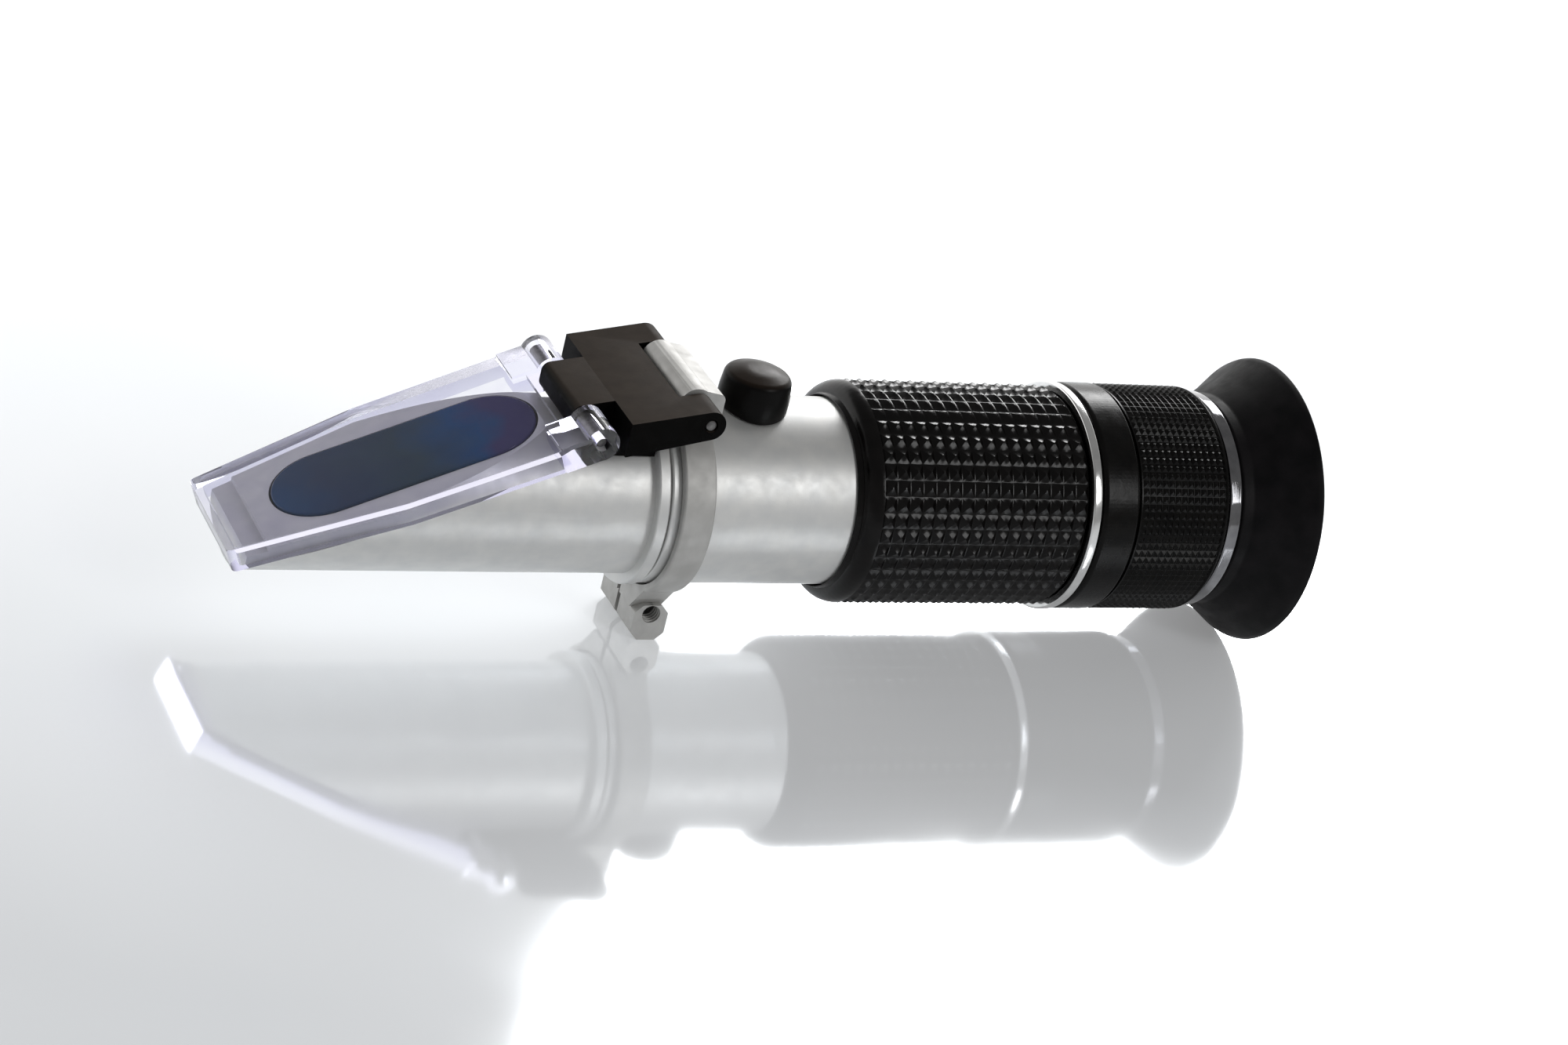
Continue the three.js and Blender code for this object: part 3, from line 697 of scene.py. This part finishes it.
def hinge_block():
    def face(slope, sign, x):
        """Height at x of the flat face that runs off the round end, above it (1) or below it (-1)."""
        return FLAP_AXIS.y + sign * BLOCK_END_R / math.cos(slope) + (x - FLAP_AXIS.x) * math.tan(slope)

    def top(x):
        return face(BLOCK_TOP_SLOPE, 1, x)

    def bottom(x):
        return face(BLOCK_BOTTOM_SLOPE, -1, x)

    top_turn, bottom_turn = math.degrees(BLOCK_TOP_SLOPE), math.degrees(BLOCK_BOTTOM_SLOPE)
    front, under = PLATE_AXIS.x - TONGUE_REACH, PLATE_AXIS.y - TONGUE_REACH
    side = filleted([
        (BLOCK_FRONT, bottom(BLOCK_FRONT)), (front, under, 1.2), (front, top(front), 1.3),
        (BLOCK_FRONT, top(BLOCK_FRONT)),
    ], 10)
    side += arc(FLAP_AXIS, BLOCK_END_R, 90 + top_turn, -90 + bottom_turn, 24)
    saddle_rear = HOUSING_REAR - GAP
    saddle = [
        (BLOCK_FRONT, SADDLE_LOW), (saddle_rear, SADDLE_LOW), (saddle_rear, top(saddle_rear) - 1),
        (BLOCK_FRONT, top(BLOCK_FRONT) - 1),
    ]
    block = join(
        extruded("tool", side, -BLOCK_HALF, BLOCK_HALF),
        extruded("tool", saddle, -SADDLE_HALF, SADDLE_HALF),
    )
    cut(
        block,
        box((-40, BLOCK_FRONT), (TONGUE_HALF, WIDE), (0, FAR)),
        box((-40, BLOCK_FRONT), (-WIDE, -TONGUE_HALF), (0, FAR)),
        box((SLOT_FRONT, 0), (-SLOT_HALF, SLOT_HALF), (0, FAR)),
        disc(-40, HOUSING_REAR - GAP + 0.01, HOUSING_R + GAP),
        disc(HOUSING_REAR - GAP, -10, FLANGE_R + GAP),
        box((-40, BLOCK_FRONT + 0.5), (-TONGUE_HALF - 1, TONGUE_HALF + 1), (0, CROWN_FLAT + GAP)),
        crosswise(PIN_HOLE_R, FLAP_AXIS, -BLOCK_HALF - 1, BLOCK_HALF + 1),
        crosswise(PIN_HOLE_R, PLATE_AXIS, -TONGUE_HALF - 1, TONGUE_HALF + 1),
    )
    return soften(block, 0.5, 4, 35)


def pin(axis, half):
    return soften(crosswise(PIN_R, axis, -half, half), 0.18, 3, 40)


def daylight_plate():
    inner = TONGUE_HALF + 0.4
    shell = cut(
        extruded("tool", plate_outline(0, PLATE_REAR, 0.9), -PLATE_DEPTH, 0, ON_SLOPE),
        extruded(
            "tool", plate_outline(PLATE_WALL, PLATE_REAR, 0.6), -PLATE_DEPTH - 1, -PLATE_SKIN, ON_SLOPE,
        ),
    )
    for y0, y1 in ((-PLATE_REAR_HALF, -inner), (inner, PLATE_REAR_HALF)):
        arm = extruded(
            "tool", [(PLATE_REAR - 2, y0), (PLATE_AXIS_S, y0), (PLATE_AXIS_S, y1), (PLATE_REAR - 2, y1)],
            PLATE_AXIS_N - LUG_R + 0.05, PLATE_AXIS_N + LUG_R - 0.9, ON_SLOPE,
        )
        join(shell, arm, crosswise(LUG_R, PLATE_AXIS, y0, y1))
    cut(
        shell,
        box((PLATE_REAR - 8, PLATE_AXIS_S + 9), (-inner, inner), (-PLATE_DEPTH - 3, -PLATE_SKIN), ON_SLOPE),
        crosswise(PIN_HOLE_R, PLATE_AXIS, -WIDE, WIDE),
        cut(disc(-40, -20, HOUSING_R + GAP), slope_slab(-PRISM_DROP, FAR)),
    )
    return soften(shell, 0.22, 3, 35)


# ---- main tube and grip --------------------------------------------------------------------------
def main_tube():
    return turned("tool", filleted([
        (TUBE_FRONT, BORE_R, 0.2), (TUBE_FRONT, TUBE_R, 0.3), (TUBE_REAR, TUBE_R, 0.2),
        (TUBE_REAR, BORE_R, 0.2),
    ]))


def calibration_cap():
    cap = turned("tool", filleted([
        (CAP_FOOT, 0), (CAP_FOOT, CAP_R - 0.35), (CAP_TOP - 4, CAP_R, 12),
        (CAP_TOP - 0.9, CAP_R - 0.35, 1.1), (CAP_TOP - 0.1, CAP_R * 0.45, 6), (CAP_TOP, 0),
    ], 12), FINE, CAP_X)
    bore = [(5, 0), (5, CAP_BORE_R), (CAP_BORE_TOP, CAP_BORE_R), (CAP_BORE_TOP, 0)]
    hollow = turned("tool", bore, FINE, CAP_X)
    cut(cap, hollow, disc(-15, 5, TUBE_R + GAP))
    return soften(cap, 0.25, 3, 40)


KNURL_STOPS = ((0.03, 0), (0.46, 1), (0.54, 1), (0.97, 0))  # place in a pitch, share of the height


def knurled(name, before, knurl, after, rows):
    """A sleeve of square pyramids. before and after are smooth rings (x, radius); knurl is
    (front, rear, columns, base radius, height)."""
    front, rear, columns, base, height = knurl
    pitch = (rear - front) / columns
    rings = [(x, r, 0) for x, r in before]
    for column in range(columns):
        rings += [(front + (column + place) * pitch, base, share) for place, share in KNURL_STOPS]
    rings += [(x, r, 0) for x, r in after]
    step = 2 * math.pi / rows
    turns = [((row + place) * step, share) for row in range(rows) for place, share in KNURL_STOPS]
    points, lifts = [], []
    for x, radius, ring_share in rings:
        for turn, share in turns:
            lift = min(ring_share, share)
            lifts.append(lift)
            r = radius + height * lift
            points.append((x, r * math.cos(turn), r * math.sin(turn)))
    faces = []
    count = len(turns)
    for p in range(len(rings)):
        q = (p + 1) % len(rings)
        for i in range(count):
            j = (i + 1) % count
            quad = [p * count + i, p * count + j, q * count + j, q * count + i]
            raised = [k for k in range(4) if lifts[quad[k]] > 0]
            if len(raised) == 1:
                a = raised[0]
                quad = quad[a:] + quad[:a]
                faces += [(quad[0], quad[1], quad[2]), (quad[0], quad[2], quad[3])]
            else:
                faces.append(tuple(quad))
    return piece_from(name, points, faces)


def grip_sleeve():
    inner = TUBE_R + GAP
    knurl_front = GRIP_FRONT + GRIP_COLLAR
    base = GRIP_R - GRIP_KNURL
    collar = arc((knurl_front - 0.15, GRIP_R - 2.55), 2.45, 180, 90, 14)
    before = [(GRIP_FRONT, inner), (GRIP_FRONT + 0.05, inner + 0.15)]
    before += [(max(x, GRIP_FRONT + 0.1), r) for x, r in collar if r > inner + 0.3]
    before.append((knurl_front, base))
    after = [(GRIP_REAR, base), (GRIP_REAR, inner)]
    return knurled("tool", before, (knurl_front, GRIP_REAR, 16, base, GRIP_KNURL), after, 42)


# ---- eyepiece ------------------------------------------------------------------------------------
def tube_end_ring():
    hub = EYE_TUBE_R + GAP
    return turned("tool", filleted([
        (RING_FRONT, hub), (RING_FRONT, SPIGOT_R, 0.3), (GRIP_REAR + GAP, SPIGOT_R),
        (GRIP_REAR + GAP, RING_R, 0.3), (FOCUS_FRONT - GAP, RING_R, 0.3), (FOCUS_FRONT - GAP, NECK_R),
        (RING_NECK_REAR, NECK_R, 0.3), (RING_NECK_REAR, hub),
    ]))


def focus_ring():
    bore = NECK_R + GAP
    hub = EYE_TUBE_R + GAP
    groove = FOCUS_FRONT + FOCUS_COLLAR
    groove_r = FOCUS_R - FOCUS_GROOVE
    knurl_front = groove + 0.35
    base = FOCUS_R - FOCUS_KNURL - 0.02
    before = [(FOCUS_FRONT, bore)]
    before += arc((FOCUS_FRONT + 0.9, FOCUS_R - 0.9), 0.9, 180, 90, 8)
    before += arc((groove - 0.75, FOCUS_R - 0.4), 0.4, 90, 0, 5)
    before += [(groove - 0.3, groove_r), (groove + 0.1, groove_r), (groove + 0.15, base)]
    before.append((knurl_front, base))
    knurl_rear = FOCUS_REAR - 0.7
    after = [(knurl_rear, base), *arc((FOCUS_REAR - 0.5, FOCUS_R - 0.6), 0.5, 90, 0, 5)]
    after += [(FOCUS_REAR, hub), (FOCUS_WEB_FRONT, hub), (FOCUS_WEB_FRONT, bore)]
    return knurled("tool", before, (knurl_front, knurl_rear, 13, base, FOCUS_KNURL), after, 88)


def eyecup_trim_ring():
    return turned("tool", filleted([
        (TRIM_FRONT, TRIM_BORE_R), (TRIM_FRONT, TRIM_R, 0.4), (TRIM_REAR, TRIM_R, 0.5),
        (TRIM_REAR, TRIM_BORE_R),
    ]))


def eyecup():
    return turned("tool", filleted([
        (CUP_FRONT, CUP_HUB_R), (CUP_FRONT, 15.3, 0.5), (71.4, 15.6, 1.2), (75.2, 17.9, 12),
        (78.9, 20.75, 2), (CUP_REAR - 0.35, CUP_R, 0.25), (CUP_REAR, CUP_R - 0.25, 0.3),
        (CUP_REAR, CUP_R - 1.5, 0.4),
        (76, 17.2, 8), (CUP_WEB_REAR, 13.2, 1.2), (CUP_WEB_REAR, CUP_HUB_R),
    ], 8))


def eye_lens():
    bulge = 1.2
    steps = 12

    def face(x, sign):
        return [(x + sign * bulge * (i / steps) ** 2, LENS_R * i / steps) for i in range(steps + 1)]

    return turned("tool", face(LENS_FRONT, 1) + face(LENS_REAR, -1)[::-1], FINE)


def lens_retainer():
    front, rear, radius = span("lens_retainer")
    ring = turned("tool", filleted([
        (front, RETAINER_BORE_R), (front, radius), (rear, radius, 0.15), (rear, RETAINER_BORE_R, 0.3),
    ]), FINE)
    return cut(ring, box((rear - 0.5, rear + 1), (-FAR, FAR), (-0.4, 0.4)))


def eyepiece_tube():
    front, rear, _ = span("eyepiece_tube")
    flange = TRIM_FRONT + 1.2
    tube = turned("tool", filleted([
        (front, EYE_BORE_R, 0.2), (front, EYE_TUBE_R, 0.3), (TRIM_FRONT, EYE_TUBE_R),
        (TRIM_FRONT, EYE_FLANGE_R, 0.2), (flange, EYE_FLANGE_R, 0.2), (flange, EYE_TUBE_R),
        (rear, EYE_TUBE_R, 0.3), (rear, EYE_BORE_R, 0.2),
    ], 3))
    return cut(tube, box(GUIDE_SLOT, (-GUIDE_SLOT_HALF, GUIDE_SLOT_HALF), (8.3, 12)))


# ---- the pieces on their bodies ------------------------------------------------------------------
def build():
    pieces = (
        (prism_housing, "barrel", "satin_aluminium", ALUMINIUM),
        (measuring_prism, "barrel", "prism_glass", PRISM),
        (clamp_collar, "barrel", "satin_aluminium", CAST),
        (clamp_screw, "barrel", "bright_steel", STEEL),
        (main_tube, "barrel", "satin_aluminium", ALUMINIUM),
        (grip_sleeve, "barrel", "black_rubber", GRIP_RUBBER),
        (tube_end_ring, "barrel", "satin_aluminium", TURNED),
        (hinge_block, "flap_arm", "black_plastic", BLOCK_PLASTIC),
        (daylight_plate, "cover", "clear_acrylic", ACRYLIC),
        (calibration_cap, "calibration_cap", "black_rubber", CAP_RUBBER),
        (focus_ring, "focusing_ring", "black_plastic", RING_PLASTIC),
        (eyecup_trim_ring, "focusing_ring", "satin_aluminium", SHADED_POLISHED),
        (eyecup, "focusing_ring", "cup_rubber", CUP_RUBBER),
        (eyepiece_tube, "eyepiece_slide", "optical_black", OPTICAL_BLACK),
        (eye_lens, "eyepiece_slide", "optical_glass", OPTICAL),
        (lens_retainer, "eyepiece_slide", "optical_black", OPTICAL_BLACK),
    )
    for make, body, slot, material in pieces:
        name = make.__name__
        add(make(), name + "_fine", body, material, [name])
    pins = (
        ("hinge_pin", "barrel", FLAP_AXIS, BLOCK_HALF - 0.1),
        ("plate_pin", "flap_arm", PLATE_AXIS, PLATE_REAR_HALF - 0.8),
    )
    for name, body, axis, half in pins:
        add(pin(axis, half), name + "_fine", body, STEEL, [name])


CARRIED_OVER = {
    "aperture_stop": OPTICAL_BLACK, "tube_seal": GRIP_RUBBER, "objective_cell": OPTICAL_BLACK,
    "objective_lens": OPTICAL, "calibration_bush": BRASS, "calibration_screw": STEEL,
    "reticle_tube": OPTICAL_BLACK, "reticle_disc": OPTICAL, "reticle_retainer": OPTICAL_BLACK,
    "guide_screw": STEEL, "field_lens": OPTICAL, "lens_spacer": OPTICAL_BLACK,
}


def finish_carried_over():
    for name, material in CARRIED_OVER.items():
        node = frame["nodes"][name]
        for place in node.material_slots:
            place.material = material


# ---- studio --------------------------------------------------------------------------------------
def camera():
    """Looks down at the instrument from its prism side, rolled as a hand-held shot is."""
    aim = Vector((4.56, 0, 15.69)) * MM
    distance = 560.7 * MM
    azimuth, elevation, roll = (math.radians(d) for d in (-28.903, 25.772, 14.407))
    back = Vector((
        math.sin(azimuth) * math.cos(elevation),
        -math.cos(azimuth) * math.cos(elevation),
        math.sin(elevation),
    ))
    level = Vector((math.cos(azimuth), math.sin(azimuth), 0))
    rise = back.cross(level)
    right = math.cos(roll) * level + math.sin(roll) * rise
    up = math.cos(roll) * rise - math.sin(roll) * level
    lens = bpy.data.cameras.new("camera")
    lens.lens = 91
    lens.sensor_width = 36
    lens.clip_start = 0.01
    shot = bpy.data.objects.new("camera", lens)
    turn = Matrix((right, up, back)).transposed().to_4x4()
    shot.matrix_world = Matrix.Translation(aim + back * distance) @ turn
    bpy.context.scene.collection.objects.link(shot)
    bpy.context.scene.camera = shot


def area_light(name, place, aim, size, power, colour=(1, 1, 1)):
    lamp = bpy.data.lights.new(name, "AREA")
    lamp.shape = "RECTANGLE"
    lamp.size, lamp.size_y = size
    lamp.energy = power
    lamp.color = colour
    light = bpy.data.objects.new(name, lamp)
    light.location = place
    light.rotation_euler = (Vector(aim) - Vector(place)).to_track_quat("-Z", "Y").to_euler()
    bpy.context.scene.collection.objects.link(light)


def studio():
    """White surroundings, brightest low down behind the instrument, two soft boxes and a pale floor."""
    world = bpy.data.worlds.new("studio")
    world.use_nodes = True
    tree = world.node_tree
    apart = tree.nodes.new("ShaderNodeSeparateXYZ")
    tree.links.new(tree.nodes.new("ShaderNodeTexCoord").outputs["Generated"], apart.inputs["Vector"])
    behind = spread(tree, apart.outputs["Y"], 0.22, 1, 0.0, 0.5)
    low = spread(tree, apart.outputs["Z"], 1.45, 0.25, 0.4, 0.56)
    background = tree.nodes["Background"]
    background.inputs["Color"].default_value = (1, 0.995, 0.985, 1)
    floor_of_light = tree.nodes.new("ShaderNodeMath")
    floor_of_light.operation = "MAXIMUM"
    floor_of_light.inputs[1].default_value = 0.24
    tree.links.new(product(tree, behind, low), floor_of_light.inputs[0])
    tree.links.new(floor_of_light.outputs["Value"], background.inputs["Strength"])
    bpy.context.scene.world = world
    area_light("key", (0.40, -0.68, 0.46), (0, 0, 0.02), (0.25, 0.3), 1.6)
    area_light("back", (0.55, 0.65, 0.5), (0, 0, 0), (0.4, 0.3), 4)

    tree, shader, material = new_material("pale_floor")
    paint = ramp(tree, noise(tree, 60, 2), [(0.3, (0.88, 0.92, 0.965)), (0.7, (0.91, 0.94, 0.975))])
    tree.links.new(paint, shader.inputs["Base Color"])
    tree.links.new(spread(tree, noise(tree, 25, 2), 0.05, 0.09), shader.inputs["Roughness"])
    shader.inputs["Metallic"].default_value = 0.3
    shader.inputs["Emission Color"].default_value = (1, 1, 1, 1)
    shader.inputs["Emission Strength"].default_value = 0.21
    half = 4
    floor = piece_from("floor", [(-half, -half, 0), (half, -half, 0), (half, half, 0), (-half, half, 0)],
                       [(0, 1, 2, 3)])
    floor.data.materials.append(material)


camera()
studio()
build()
finish_carried_over()
bpy.context.scene.view_settings.view_transform = "Standard"
